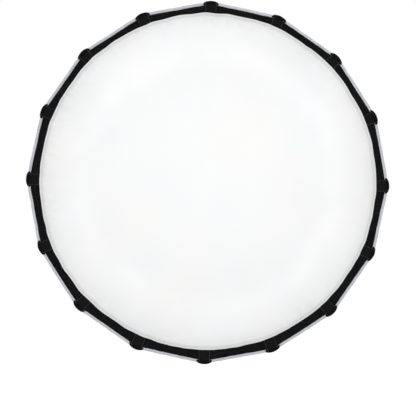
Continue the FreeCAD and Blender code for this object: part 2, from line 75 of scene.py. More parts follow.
RIBS = 16
PITCH = math.tau / RIBS
HALF_PITCH = PITCH / 2
FRONT = Vector((0, -1, 0))
HINGE = next(j for j in frame["joints"] if j["name"] == "rib_01_fold")["pos_m"]
HINGE_RADIUS, HINGE_DEPTH = HINGE[2], -HINGE[1]
FOLD_ANGLE = math.radians(35)
ARM_SLOPE = math.radians(62)
ARM_LENGTH = 0.090
TIP_RADIUS, TIP_DEPTH = 0.586, 0.628
ALONG_ARM = (math.sin(ARM_SLOPE), math.cos(ARM_SLOPE))
ARM_END = (HINGE_RADIUS + ARM_LENGTH * ALONG_ARM[0], HINGE_DEPTH + ARM_LENGTH * ALONG_ARM[1])
CHORD = (TIP_RADIUS - ARM_END[0], TIP_DEPTH - ARM_END[1])
BEND = (CHORD[0] ** 2 + CHORD[1] ** 2) / 2 / (CHORD[1] * ALONG_ARM[0] - CHORD[0] * ALONG_ARM[1])
BEND_CENTRE = (ARM_END[0] - BEND * ALONG_ARM[1], ARM_END[1] + BEND * ALONG_ARM[0])


def rib_point(offset, distance):
    """(radius, depth, slope from the axis) on the line moved outwards by offset, at that distance
    along it from the arm's end."""
    if distance <= 0:
        slope = ARM_SLOPE
        start = (ARM_END[0] + offset * ALONG_ARM[1], ARM_END[1] - offset * ALONG_ARM[0])
        return start[0] + distance * ALONG_ARM[0], start[1] + distance * ALONG_ARM[1], slope
    slope = ARM_SLOPE - distance / BEND
    reach = BEND + offset
    radius = BEND_CENTRE[0] + reach * math.cos(slope)
    return radius, BEND_CENTRE[1] - reach * math.sin(slope), slope


def at_rib(radius, depth, angle=0.0, sideways=0.0):
    """A point in the row frame, beside the rib that stands at angle from straight up."""
    outward = Vector((math.sin(angle), 0, math.cos(angle)))
    across = Vector((math.cos(angle), 0, -math.sin(angle)))
    return outward * radius + FRONT * depth + across * sideways


def folded_radius(radius, depth):
    """How far from the axis a point that rides on a rib ends when the ribs are folded."""
    away, forward = radius - HINGE_RADIUS, depth - HINGE_DEPTH
    return HINGE_RADIUS + away * math.cos(FOLD_ANGLE) - forward * math.sin(FOLD_ANGLE)


def rib_angle(index):
    return index * PITCH


def rib_body(index):
    return f"rib_{index + 1:02d}"


def clamped(share):
    """share, kept from 0 to 1."""
    return min(max(share, 0), 1)


def round_noise(angle, lobes, seed):
    """-1 to 1, changing slowly round the box without a seam."""
    return noise.noise(Vector((lobes * math.sin(angle), lobes * math.cos(angle), seed)))


def ride_and_gather(piece, index):
    """The piece turns with its rib, and gets a mesh of its own."""
    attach(piece, rib_body(index))
    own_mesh(piece)


SHARP_TURN = math.radians(48)


def new_piece(name, mesh, *materials):
    """A bmesh becomes a smooth-shaded piece, crisp at its sharp edges, with its materials."""
    data = bpy.data.meshes.new(name)
    mesh.normal_update()
    for edge in mesh.edges:
        edge.smooth = edge.calc_face_angle(0) < SHARP_TURN
    mesh.to_mesh(data)
    mesh.free()
    data.shade_smooth()
    for material in materials:
        data.materials.append(material)
    piece = bpy.data.objects.new(name, data)
    bpy.context.scene.collection.objects.link(piece)
    return piece


def turned_copy(piece, name, angle):
    """The same piece again, turned clockwise about the box's axis, with the turn in its mesh."""
    data = piece.data.copy()
    data.transform(Matrix.Rotation(angle, 4, "Y"))
    copy = bpy.data.objects.new(name, data)
    bpy.context.scene.collection.objects.link(copy)
    return copy


def face_outwards(sheet, outwards):
    """Turns an open sheet's faces so that on the whole they look outwards."""
    bmesh.ops.recalc_face_normals(sheet, faces=sheet.faces)
    if sum(face.normal.dot(outwards) for face in sheet.faces) < 0:
        bmesh.ops.reverse_faces(sheet, faces=sheet.faces)


# ---- Cloth finishes
# Black coated ripstop outside, aluminised cloth inside. The grid of thicker threads, the fine weave
# and the slow unevenness of the dye come from each panel's own UV map, which is in metres.


class Finish:
    """A new node material: its shader, its texture coordinates, and short ways to add nodes."""

    def __init__(self, name, colour, roughness, **sockets):
        self.material = bpy.data.materials.new(name)
        self.material.use_nodes = True
        self.tree = self.material.node_tree
        self.shader = self.tree.nodes["Principled BSDF"]
        self.shader.inputs["Base Color"].default_value = (*colour, 1)
        self.shader.inputs["Roughness"].default_value = roughness
        for socket, value in sockets.items():
            self.shader.inputs[socket.replace("_", " ")].default_value = value
        self.coordinates = self.node("ShaderNodeTexCoord")

    def node(self, kind, links=(), **settings):
        """A node with settings. links gives (its input, the value or socket that feeds it)."""
        made = self.tree.nodes.new(kind)
        for setting, value in settings.items():
            setattr(made, setting, value)
        for entry, source in links:
            if isinstance(source, (int, float, tuple)):
                made.inputs[entry].default_value = source
            else:
                self.tree.links.new(source, made.inputs[entry])
        return made

    def maths(self, operation, *values):
        links = list(enumerate(values))
        return self.node("ShaderNodeMath", links, operation=operation).outputs[0]

    def vectors(self, operation, *values):
        links = list(enumerate(values))
        return self.node("ShaderNodeVectorMath", links, operation=operation).outputs[0]

    def parts(self, where):
        """The X, Y and Z of one kind of texture coordinate."""
        links = [("Vector", self.coordinates.outputs[where])]
        return self.node("ShaderNodeSeparateXYZ", links).outputs

    def cloud(self, scale, detail=3.0):
        """Soft noise through the piece, 0 to 1."""
        links = [("Vector", self.coordinates.outputs["Object"]), ("Scale", scale),
                 ("Detail", detail)]
        return self.node("ShaderNodeTexNoise", links).outputs["Fac"]

    def spread(self, value, low, high, from_low=0.0, from_high=1.0):
        """A value from one range mapped to another."""
        links = [("Value", value), ("From Min", from_low), ("From Max", from_high),
                 ("To Min", low), ("To Max", high)]
        return self.node("ShaderNodeMapRange", links).outputs["Result"]

    def mottled(self, scale, low, high):
        """low to high in soft patches."""
        return self.spread(self.cloud(scale), low, high, 0.3, 0.7)

    def ridges(self, place, pitch):
        """A wave that repeats at that pitch along place."""
        return self.maths("SINE", self.maths("MULTIPLY", place, math.tau / pitch))

    def colours(self, share, first, second):
        """A mix by share of two colours, or of the sockets that give them."""
        ends = [(*end, 1) if isinstance(end, tuple) else end for end in (first, second)]
        links = [("Factor", share), ("A", ends[0]), ("B", ends[1])]
        return self.node("ShaderNodeMix", links, data_type="RGBA").outputs["Result"]

    def scaled(self, colour, factor):
        """A colour made lighter or darker."""
        links = [(0, colour), ("Scale", factor)]
        return self.node("ShaderNodeVectorMath", links, operation="SCALE").outputs[0]

    def set(self, socket, source):
        self.tree.links.new(source, self.shader.inputs[socket])

    def bump(self, height, distance, strength=1.0):
        """Adds a bump on top of any that the shader already has."""
        links = [("Height", height), ("Distance", distance), ("Strength", strength)]
        made = self.node("ShaderNodeBump", links)
        below = self.shader.inputs["Normal"].links
        if below:
            self.tree.links.new(below[0].from_socket, made.inputs["Normal"])
        self.set("Normal", made.outputs["Normal"])

    def soften(self, radius):
        """Rounds the look of sharp edges. It goes under any bump."""
        self.set("Normal", self.node("ShaderNodeBevel", [("Radius", radius)], samples=4).outputs[0])

    def threads(self, pitch, width):
        """1 on a square grid of lines of that width, 0 between them."""
        place = self.parts("UV")
        lines = []
        for axis in ("X", "Y"):
            phase = self.maths("FRACT", self.maths("DIVIDE", place[axis], pitch))
            off_centre = self.maths("ABSOLUTE", self.maths("SUBTRACT", phase, 0.5))
            lines.append(self.spread(off_centre, 1.0, 0.0, 0.0, width / pitch))
        return self.maths("MAXIMUM", *lines)

    def weave(self, pitch, where="UV"):
        """A plain weave: threads that pass over and under each other."""
        place = self.parts(where)
        over_under = [self.ridges(place[axis], 2 * pitch) for axis in ("X", "Y")]
        return self.maths("ABSOLUTE", self.maths("MULTIPLY", *over_under))


def black_ripstop():
    cloth = Finish("black_ripstop", (0.012, 0.012, 0.013), 0.62, Specular_IOR_Level=0.25)
    grid = cloth.threads(pitch=0.0045, width=0.0007)
    dyed = cloth.colours(cloth.cloud(9.0), (0.0085, 0.0085, 0.0095), (0.0155, 0.0155, 0.0165))
    lighter = cloth.maths("ADD", cloth.maths("MULTIPLY", grid, 0.35), 1.0)
    cloth.set("Base Color", cloth.scaled(dyed, lighter))
    shinier = cloth.maths("MULTIPLY", grid, 0.05)
    cloth.set("Roughness", cloth.maths("SUBTRACT", cloth.mottled(30.0, 0.54, 0.7), shinier))
    cloth.bump(cloth.cloud(14.0, detail=4.0), 0.004, 0.35)
    cloth.bump(cloth.cloud(55.0), 0.0012, 0.3)
    return cloth.material


def silver_lining():
    cloth = Finish("silver_lining", (0.74, 0.75, 0.77), 0.34, Metallic=0.85)
    cloth.set("Roughness", cloth.mottled(60.0, 0.28, 0.44))
    cloth.bump(cloth.threads(pitch=0.004, width=0.0008), 0.0002)
    cloth.bump(cloth.cloud(40.0, detail=5.0), 0.003, 0.5)
    return cloth.material


RIPSTOP = black_ripstop()
LINING = silver_lining()


# ---- Outer shell
# Sixteen gores of ripstop, sewn to each other over the ribs and stretched straight between them.
# Each is pulled slightly inwards along its middle. The shell is cut for folding into a panel for
# each rib, from mid-gore to mid-gore, and each panel into lengths; each length's folded share is
# worked out but not applied.

SHELL_OFFSET = 0.0062
SHELL_THICKNESS = 0.0010
CUT_EDGE = 1.2 * SHELL_THICKNESS
HEM_DISTANCE = -0.0712
LENGTHS = 7
ROWS_PER_LENGTH = 12
COLUMNS = 24
GORE_PULL = 0.013
PULL_FULLNESS = 0.8
PUCKER = 0.0009
PUCKER_PITCH = 0.034
PUCKER_WANDER = 1.3
PUCKER_REACH = 0.030
SEAM_FLAT = 0.006
UPWARDS = Vector((0, 0, 1))

shell_front_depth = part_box("outer_shell")[0].y * -1


def shell_end_distance():
    """How far along the bend the shell reaches the back of the binding."""
    slope = math.asin((BEND_CENTRE[1] - shell_front_depth) / (BEND + SHELL_OFFSET))
    return (ARM_SLOPE - slope) * BEND


SHELL_END = shell_end_distance()


def gore_point(distance, side):
    """A point of the shell's outside by the top rib. side is -1 to 1, mid-gore to mid-gore."""
    radius, depth, slope = rib_point(SHELL_OFFSET, distance)
    share = abs(side) / 2
    way = math.copysign(1, side)
    x = radius * math.sin(PITCH) * share * way
    z = radius * (1 - share * (1 - math.cos(PITCH)))
    along = (distance - HEM_DISTANCE) / (SHELL_END - HEM_DISTANCE)
    middle = math.sin(math.pi * clamped(along)) ** PULL_FULLNESS
    across = abs(x)
    wander = PUCKER_WANDER * noise.noise(Vector((distance * 9, 0.4, way * 3)))
    ripple = math.sin(math.tau * (distance / PUCKER_PITCH + wander))
    fade = math.exp(-across / PUCKER_REACH) * (1 - math.exp(-across / SEAM_FLAT))
    inward = GORE_PULL * 4 * share * (1 - share) * middle + PUCKER * ripple * fade * middle
    normal = Vector((math.sin(HALF_PITCH) * way * math.cos(slope), math.sin(slope),
                     math.cos(HALF_PITCH) * math.cos(slope)))
    return Vector((x, -depth, z)) - normal * inward


def shell_length(index):
    """One length of the top rib's panel, black outside and silver inside, and the share of its
    width that it keeps when folded."""
    first = HEM_DISTANCE + (SHELL_END - HEM_DISTANCE) * index / LENGTHS
    last = HEM_DISTANCE + (SHELL_END - HEM_DISTANCE) * (index + 1) / LENGTHS
    cloth = bmesh.new()
    bmesh.ops.create_grid(cloth, x_segments=COLUMNS, y_segments=ROWS_PER_LENGTH, size=1)
    uv = cloth.loops.layers.uv.new("metres")
    for vert in cloth.verts:
        side, share = vert.co.x, (vert.co.y + 1) / 2
        distance = first + (last - first) * share
        point = gore_point(distance, side)
        for loop in vert.link_loops:
            loop[uv].uv = (point.x, distance)
        vert.co = point
    face_outwards(cloth, UPWARDS)
    outside = set(cloth.faces)
    bmesh.ops.solidify(cloth, geom=list(cloth.faces), thickness=SHELL_THICKNESS)
    for face in cloth.faces:
        cut = any(edge.calc_length() < CUT_EDGE for edge in face.edges)
        face.material_index = 0 if face in outside or cut else 1
    piece = new_piece(f"shell_length_{index + 1}_rib_01", cloth, RIPSTOP, LINING)
    radius, depth, _ = rib_point(SHELL_OFFSET, first)
    return piece, folded_radius(radius, depth) / radius


for number in range(LENGTHS):
    pattern, keep = shell_length(number)
    for rib in range(RIBS):
        name = f"shell_length_{number + 1}_rib_{rib + 1:02d}"
        panel = turned_copy(pattern, name, rib_angle(rib)) if rib else pattern
        if rib == 0 and number == 0:
            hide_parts("outer_shell")
        ride_and_gather(panel, rib)


# ---- Rib tapes
# Webbing sewn over each rib seam, from the hem to the corner pocket, with a row of stitches along
# both sides. The rod's sleeve is under it.

TAPE_HALF_WIDTH = 0.011
TAPE_THICKNESS = 0.0011
TAPE_GAP = 0.0003
TAPE_CROWN = 0.0008
TAPE_ROWS = 96
TAPE_START = HEM_DISTANCE + 0.001
TAPE_RUN = SHELL_END - HEM_DISTANCE - 0.012
TWILL_PITCH = 0.0019
CORD_PITCH = 0.0012
STITCH_PITCH = 0.0042
STITCH_INSET = 0.0025
STITCH_HALF_WIDTH = 0.00034
STITCH_SHARE = 0.74
THREAD_GREY = (0.10, 0.10, 0.105)


def black_webbing(name, stitch_line, shade=1.0):
    """Woven tape in UV metres, x across it and y along it, stitched at stitch_line each side of
    its middle, or with no stitches where that is 0."""
    dark = tuple(shade * part for part in (0.007, 0.007, 0.0075))
    light = tuple(shade * part for part in (0.0135, 0.0135, 0.0145))
    tape = Finish(name, light, 0.78, Specular_IOR_Level=0.1)
    place = tape.parts("UV")
    across, along = place["X"], place["Y"]
    off_middle = tape.maths("ABSOLUTE", across)
    dyed = tape.colours(tape.cloud(22.0), dark, light)
    tape.bump(tape.ridges(tape.maths("ADD", off_middle, along), TWILL_PITCH), 0.00012)
    tape.bump(tape.ridges(across, CORD_PITCH), 0.00008)
    if stitch_line:
        off_line = tape.maths("ABSOLUTE", tape.maths("SUBTRACT", off_middle, stitch_line))
        in_line = tape.maths("LESS_THAN", off_line, STITCH_HALF_WIDTH)
        phase = tape.maths("FRACT", tape.maths("DIVIDE", along, STITCH_PITCH))
        stitched = tape.maths("MULTIPLY", in_line, tape.maths("LESS_THAN", phase, STITCH_SHARE))
        dyed = tape.colours(stitched, dyed, THREAD_GREY)
        tape.bump(stitched, 0.0004)
    tape.set("Base Color", dyed)
    return tape.material


RIB_WEBBING = black_webbing("rib_webbing", TAPE_HALF_WIDTH - STITCH_INSET)


def rib_tape():
    """The top rib's tape, from hem to corner pocket, slightly crowned across its width."""
    tape = bmesh.new()
    bmesh.ops.create_grid(tape, x_segments=6, y_segments=TAPE_ROWS, size=1)
    uv = tape.loops.layers.uv.new("metres")
    for vert in tape.verts:
        across, share = vert.co.x * TAPE_HALF_WIDTH, (vert.co.y + 1) / 2
        distance = TAPE_START + TAPE_RUN * share
        radius, depth, slope = rib_point(SHELL_OFFSET + TAPE_THICKNESS + TAPE_GAP, distance)
        full_width = radius * math.sin(PITCH)
        drop = radius * (1 - math.cos(PITCH)) * abs(across) / full_width
        crown = TAPE_CROWN * (1 - (across / TAPE_HALF_WIDTH) ** 2)
        for loop in vert.link_loops:
            loop[uv].uv = (across, distance)
        outwards = Vector((0, math.sin(slope), math.cos(slope)))
        vert.co = Vector((across, -depth, radius - drop)) + outwards * crown
    face_outwards(tape, UPWARDS)
    bmesh.ops.solidify(tape, geom=list(tape.faces), thickness=TAPE_THICKNESS)
    return new_piece("rib_tape_01", tape, RIB_WEBBING)


pattern = rib_tape()
for rib in range(RIBS):
    tape = turned_copy(pattern, f"rib_tape_{rib + 1:02d}", rib_angle(rib)) if rib else pattern
    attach(tape, rib_body(rib))


# ---- Front lip
# A flat band of loop-faced cloth round the front, sixteen-sided outside and round inside, where the
# diffuser's hook strip presses on. It is sewn to the shell's edge, and a little uneven.

APOTHEM = -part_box("rim_band")[0].x * math.cos(HALF_PITCH)
LIP_FRONT = -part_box("rim_band")[0].y
LIP_THICKNESS = 0.0014
LIP_UNDER_CLOTH = 0.012
LIP_SET_BACK = 0.0009
LIP_UNEVEN = 0.0007
CLOTH_EDGE = 0.5545
EDGE_DRIFT = 0.0043
EDGE_CORNERS = 0.0008
EDGE_WAVE = 0.0022
EDGE_RIPPLE = 0.0022


def cloth_edge(angle):
    """The radius where the white cloth ends: pressed on a little high, drawn out at the ribs."""
    drift = EDGE_DRIFT * math.cos(angle) + EDGE_CORNERS * math.cos(RIBS * angle)
    wave = EDGE_WAVE * round_noise(angle, 3.2, 1.7)
    ripple = EDGE_RIPPLE * round_noise(angle, 14, 5.1)
    return CLOTH_EDGE + drift + wave + ripple


def loop_cloth():
    cloth = Finish("loop_cloth", (0.006, 0.006, 0.0065), 0.9, Specular_IOR_Level=0.06)
    loops = cloth.spread(cloth.cloud(190.0, detail=4.0), 0.0, 1.0, 0.34, 0.66)
    worn = cloth.spread(cloth.cloud(26.0), 0.45, 1.0, 0.35, 0.65)
    raised = cloth.maths("MULTIPLY", loops, worn)
    cloth.set("Base Color", cloth.colours(raised, (0.0022, 0.002, 0.002), (0.0135, 0.0135, 0.0145)))
    cloth.bump(cloth.weave(0.0016), 0.00025)
    cloth.bump(cloth.cloud(700.0, detail=2.0), 0.0003, 0.6)
    cloth.bump(cloth.cloud(26.0), 0.003, 0.4)
    return cloth.material


LOOP_CLOTH = loop_cloth()


def lip_section(rib):
    """The lip from mid-side to mid-side about one rib."""
    lip = bmesh.new()
    bmesh.ops.create_grid(lip, x_segments=28, y_segments=6, size=1)
    uv = lip.loops.layers.uv.new("metres")
    for vert in lip.verts:
        turn, share = vert.co.x * HALF_PITCH, (vert.co.y + 1) / 2
        angle = rib_angle(rib) + turn
        inner = cloth_edge(angle) - LIP_UNDER_CLOTH
        outer = APOTHEM / math.cos(HALF_PITCH - abs(turn))
        radius = inner + (outer - inner) * share
        lift = LIP_UNEVEN * round_noise(angle, 20, 3 + 40 * radius)
        for loop in vert.link_loops:
            loop[uv].uv = (radius * turn, radius)
        vert.co = at_rib(radius, LIP_FRONT - LIP_SET_BACK + lift * share, angle)
    face_outwards(lip, FRONT)
    bmesh.ops.solidify(lip, geom=list(lip.faces), thickness=LIP_THICKNESS)
    return new_piece(f"front_lip_rib_{rib + 1:02d}", lip, LOOP_CLOTH)


for rib in range(RIBS):
    lip = lip_section(rib)
    if rib == 0:
        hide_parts("rim_band")
    ride_and_gather(lip, rib)


# ---- Edge binding
# Silver tape folded over the raw edges of shell and lip and sewn through, one run along each
# straight side, ending under the corner pockets.

BINDING_INNER = APOTHEM - 0.0017
BINDING_OUTER = APOTHEM + 0.0076
BINDING_FRONT = LIP_FRONT + 0.0009
BINDING_BACK = LIP_FRONT - 0.0062
BINDING_EDGE = 0.0028
BINDING_UNDER_POCKET = 0.003
BINDING_STEPS = 26
BINDING_SWELL = 0.10
BINDING_SHIFT = 0.0010
BINDING_GIRTH = 0.004
POCKET_HALF_WIDTH = 0.023


def silver_tape():
    tape = Finish("silver_tape", (0.56, 0.60, 0.65), 0.45, Metallic=0.25)
    ribs = tape.ridges(tape.parts("UV")["Y"], 0.0016)
    shiny = tape.colours(tape.cloud(45.0, detail=4.0), (0.42, 0.430, 0.452), (0.575, 0.586, 0.61))
    tape.set("Base Color", shiny)
    tape.set("Roughness", tape.mottled(120.0, 0.34, 0.5))
    tape.bump(ribs, 0.00012)
    tape.bump(tape.weave(0.0012), 0.0001)
    tape.bump(tape.cloud(70.0), 0.002, 0.45)
    return tape.material


SILVER_TAPE = silver_tape()


def binding_half(rib, way):
    """One run of tape from a corner pocket to the middle of a side."""
    turn = rib_angle(rib) + way * HALF_PITCH
    middle = APOTHEM * math.tan(HALF_PITCH)
    run = middle - (POCKET_HALF_WIDTH - BINDING_UNDER_POCKET) / math.cos(HALF_PITCH)
    tape = bmesh.new()
    bmesh.ops.create_grid(tape, x_segments=1, y_segments=1, size=0.5)
    wide, deep = BINDING_OUTER - BINDING_INNER, BINDING_FRONT - BINDING_BACK
    bmesh.ops.scale(tape, vec=(wide, deep, 1), verts=tape.verts)
    bmesh.ops.bevel(tape, geom=list(tape.verts), offset=BINDING_EDGE, offset_type="OFFSET",
                    segments=4, profile=0.5, affect="VERTICES", material=-1)
    outline = tape.faces[:]
    for step in range(BINDING_STEPS):
        grown = bmesh.ops.extrude_face_region(tape, geom=outline)
        outline = [part for part in grown["geom"] if isinstance(part, bmesh.types.BMFace)]
        moved = {vert for face in outline for vert in face.verts}
        bmesh.ops.translate(tape, vec=(0, 0, run / BINDING_STEPS), verts=list(moved))
    inside = [face for face in tape.faces if len(face.verts) > 4]
    bmesh.ops.delete(tape, geom=inside, context="FACES")
    bmesh.ops.holes_fill(tape, edges=[edge for edge in tape.edges if edge.is_boundary], sides=0)
    uv = tape.loops.layers.uv.new("metres")
    for face in tape.faces:
        for loop in face.loops:
            around = math.atan2(loop.vert.co.y, loop.vert.co.x) * BINDING_GIRTH
            loop[uv].uv = (around, loop.vert.co.z)
    for vert in tape.verts:
        along = vert.co.z
        place = Vector((20 * math.sin(turn), 20 * math.cos(turn), along * 90))
        swell = 1 + BINDING_SWELL * noise.noise(place)
        shift = BINDING_SHIFT * noise.noise(place * 0.4 + Vector((7, 0, 0)))
        radius = (BINDING_INNER + BINDING_OUTER) / 2 + vert.co.x * swell + shift
        depth = (BINDING_FRONT + BINDING_BACK) / 2 + vert.co.y * swell
        vert.co = at_rib(radius, depth, turn, -way * along)
    bmesh.ops.recalc_face_normals(tape, faces=tape.faces)
    side = "right" if way > 0 else "left"
    return new_piece(f"edge_binding_{side}_rib_{rib + 1:02d}", tape, SILVER_TAPE)


for rib in range(RIBS):
    for way in (-1, 1):
        tape = binding_half(rib, way)
        if rib == 0 and way > 0:
            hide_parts("edge_binding")
        ride_and_gather(tape, rib)


# ---- Corner pockets
# One doubled webbing tab at each corner, folded over the rim: it lies flat on the lip as far as the
# white cloth, turns over the edge and runs back down the outside. The rod's tip sits in a sleeve
# behind it. Two rows of grey stitches run along its sides.

TAB_HALF_WIDTH = 0.0198
TAB_THICKNESS = 0.0022
TAB_FRONT = LIP_FRONT + 0.0026
TAB_CLEARANCE = 0.0012
TAB_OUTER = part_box("corner_pocket_01")[1].z - 0.0007
TAB_BACK = -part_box("corner_pocket_01")[1].y - 0.004
TAB_TURN = 0.0075
TAB_SAG = 0.0012
TAB_STEPS, DOWN_STEPS = 14, 12
TAB_UNEVEN = 0.0007
TAB_SIDES_DOWN = 0.0009
TAB_EDGE = 0.0005
TAB_EDGE_TURN = math.radians(50)
CAP_HALF_WIDTH = 0.0258
CAP_START, CAP_FULL, CAP_END = 0.5832, 0.5882, TAB_OUTER - 0.005
CAP_ROUNDING = 0.0070
CAP_THICKER = 0.0012
FIRST_STITCH = 0.0015
STITCH_ROW = 0.0172
STITCH_SHAPE = (0.000825, 0.0027, 0.00088)
SLEEVE_LENGTH = 0.042
SLEEVE_MOUTH, SLEEVE_TOP = 0.0043, 0.0046
SLEEVE_BELOW_TIP = 0.017
SLEEVE_BACK, SLEEVE_OUT = 0.0035, 0.001

POCKET_WEBBING = black_webbing("pocket_webbing", 0, shade=0.5)
CAP_WEBBING = black_webbing("cap_webbing", 0, shade=0.22)


def stitch_thread():
    thread = Finish("stitch_thread", (0.13, 0.13, 0.135), 0.7)
    thread.bump(thread.cloud(900.0), 0.0002)
    return thread.material


STITCH_THREAD = stitch_thread()


def tab_path(rib):
    """(radius, depth) points down the tab's outer face: over the lip, round the edge, then back."""
    inner = cloth_edge(rib_angle(rib)) + TAB_CLEARANCE
    flat = TAB_OUTER - TAB_TURN - inner
    points = [(inner + flat * k / TAB_STEPS, TAB_FRONT) for k in range(TAB_STEPS)]
    for k in range(TAB_STEPS + 1):
        angle = math.pi / 2 * k / TAB_STEPS
        points.append((TAB_OUTER - TAB_TURN + TAB_TURN * math.sin(angle),
                       TAB_FRONT - TAB_TURN + TAB_TURN * math.cos(angle)))
    down = TAB_FRONT - TAB_TURN - TAB_BACK
    for k in range(1, DOWN_STEPS + 1):
        sag = TAB_SAG * math.sin(math.pi * k / DOWN_STEPS)
        points.append((TAB_OUTER - sag, TAB_FRONT - TAB_TURN - down * k / DOWN_STEPS))
    return points


def cap_share(radius, depth):
    """0 where the tab is narrow, 1 where it is the full width of the cap."""
    on_lip = depth > TAB_FRONT - 0.001
    share = clamped((radius - CAP_START) / (CAP_FULL - CAP_START)) if on_lip else 1
    return share ** 2 * (3 - 2 * share)


def cap_drop(radius, across):
    """How much lower the cap's rounded outer end is at its sides than in the middle."""
    share = (radius - CAP_START) / (CAP_END - CAP_START)
    return CAP_ROUNDING * (across / CAP_HALF_WIDTH) ** 2 * clamped(share)


def corner_pocket(rib):
    """The doubled tab, its stitches and the sleeve for the rod's tip, as one piece."""
    path = tab_path(rib)
    last = len(path) - 1
    tab = bmesh.new()
    bmesh.ops.create_grid(tab, x_segments=14, y_segments=last, size=1)
    uv = tab.loops.layers.uv.new("metres")
    for vert in tab.verts:
        step = round((vert.co.y + 1) / 2 * last)
        radius, depth = path[step]
        flare = cap_share(radius, depth)
        across = vert.co.x * (TAB_HALF_WIDTH + (CAP_HALF_WIDTH - TAB_HALF_WIDTH) * flare)
        radius -= cap_drop(radius, across)
        uneven = TAB_UNEVEN * noise.noise(Vector((across * 60, step * 0.25, rib * 3.7)))
        puff = uneven - TAB_SIDES_DOWN * vert.co.x ** 6 + CAP_THICKER * (flare - 1)
        for loop in vert.link_loops:
            loop[uv].uv = (across, step * 0.0026)
        if depth < TAB_FRONT - 0.004:
            vert.co = Vector((across, -depth, radius + puff))
        else:
            vert.co = Vector((across, -depth - puff, radius))
    face_outwards(tab, FRONT + UPWARDS)
    bmesh.ops.solidify(tab, geom=list(tab.faces), thickness=TAB_THICKNESS)
    edges = [edge for edge in tab.edges
             if edge.is_manifold and edge.calc_face_angle(0) > TAB_EDGE_TURN]
    bmesh.ops.bevel(tab, geom=edges, offset=TAB_EDGE, segments=2, profile=0.5, affect="EDGES",
                    material=-1, clamp_overlap=True)
    for face in tab.faces:
        on_cap = face.calc_center_median().z > (CAP_START + CAP_FULL) / 2
        face.material_index = 2 if on_cap else 0
    add_stitches(tab, path)
    add_sleeve(tab)
    tab.transform(Matrix.Rotation(rib_angle(rib), 4, "Y"))
    name = f"corner_pocket_webbing_{rib + 1:02d}"
    return new_piece(name, tab, POCKET_WEBBING, STITCH_THREAD, CAP_WEBBING)


def add_stitches(tab, path):
    """Two rows of raised stitches that follow the tab's outer face."""
    shape = Matrix.Diagonal((*STITCH_SHAPE, 1))
    for across in (-STITCH_ROW, STITCH_ROW):
        for radius, depth, lean in stitch_spots(path):
            spot = Vector((across, -depth, radius - cap_drop(radius, across)))
            place = Matrix.Translation(spot) @ Matrix.Rotation(lean, 4, "X") @ shape
            made = bmesh.ops.create_uvsphere(tab, u_segments=6, v_segments=4, radius=0.5)["verts"]
            bmesh.ops.transform(tab, matrix=place, verts=made)
            for face in {face for vert in made for face in vert.link_faces}:
                face.material_index = 1


def stitch_spots(path):
    """(radius, depth, lean) of each stitch along the path, evenly spaced."""
    spots, carried = [], FIRST_STITCH
    for (r0, d0), (r1, d1) in zip(path, path[1:]):
        length = math.hypot(r1 - r0, d1 - d0)
        lean = math.atan2(r1 - r0, d0 - d1)
        while carried < length:
            share = carried / length
            spots.append((r0 + (r1 - r0) * share, d0 + (d1 - d0) * share, lean))
            carried += STITCH_PITCH
        carried -= length
    return spots


def add_sleeve(tab):
    """The tube of webbing that the rod's tip is pushed into, behind the lip."""
    tip_slope = math.atan2(BEND_CENTRE[1] - TIP_DEPTH, TIP_RADIUS - BEND_CENTRE[0])
    radius, depth, slope = rib_point(0, (ARM_SLOPE - tip_slope) * BEND - SLEEVE_BELOW_TIP)
    made = bmesh.ops.create_cone(tab, cap_ends=True, segments=20, radius1=SLEEVE_MOUTH,
                                 radius2=SLEEVE_TOP, depth=SLEEVE_LENGTH)["verts"]
    place = Matrix.Translation((0, -depth - SLEEVE_BACK, radius + SLEEVE_OUT))
    place @= Matrix.Rotation(math.pi / 2 - slope, 4, "X")
    bmesh.ops.transform(tab, matrix=place, verts=made)


for rib in range(RIBS):
    pocket = corner_pocket(rib)
    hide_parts(f"corner_pocket_{rib + 1:02d}")
    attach(pocket, rib_body(rib))


# ---- Front diffuser
# One round piece of white translucent cloth with a narrow turned hem, pressed on by its edge and
# pulled tight: almost flat, with short soft puckers running in from the hem.

CLOTH_DEPTH = LIP_FRONT + 0.0004
CLOTH_THICKNESS = 0.0006
HEM_WIDTH = 0.0068
HEM_RAISED = 0.0005
PILLOW = 0.0022
BILLOW = 0.0012
TUG, TUG_REACH = 0.0011, 0.030
RINGS, HEM_RINGS, SPOKES = 24, 6, 768
STREAK_STRETCH = 0.9

# Painted shade: how bright the cloth's colour is painted from its edge inwards, darker near the
# rim: (share of PAINTED_SHADE_WIDTH, brightness).
PAINTED_SHADE_WIDTH = 0.44
RIM_PAINTED_SHADE = ((0.0, 0.72), (0.0135, 0.71), (0.019, 0.70), (0.0263, 0.775),
            (0.0376, 0.823), (0.06, 0.857), (0.105, 0.898), (0.18, 0.939),
            (0.30, 0.975), (0.45, 0.960), (0.68, 0.975), (1.0, 0.985))


def pucker_lines(cloth, from_edge):
    """-1 to 1: short streaks that run inwards from the hem, strongest beside it. They give a bump,
    and painted crease shade in the colour.
    """
    flat = cloth.vectors("MULTIPLY", cloth.coordinates.outputs["Object"], (1.0, 0.0, 1.0))
    inwards = cloth.maths("MULTIPLY", from_edge, STREAK_STRETCH)
    drawn = cloth.node("ShaderNodeCombineXYZ", [("Y", inwards)]).outputs[0]
    place = cloth.vectors("ADD", cloth.vectors("NORMALIZE", flat), drawn)
    links = [("Vector", place), ("Scale", 34.0), ("Detail", 3.0)]
    streaks = cloth.node("ShaderNodeTexNoise", links).outputs["Fac"]
    here = cloth.maths("MULTIPLY", cloth.spread(cloth.cloud(5.5), 0.0, 1.0, 0.42, 0.62),
                       cloth.spread(from_edge, 1.0, 0.0, 0.009, 0.075))
    return cloth.maths("MULTIPLY", cloth.spread(streaks, -1.0, 1.0, 0.3, 0.7), here)


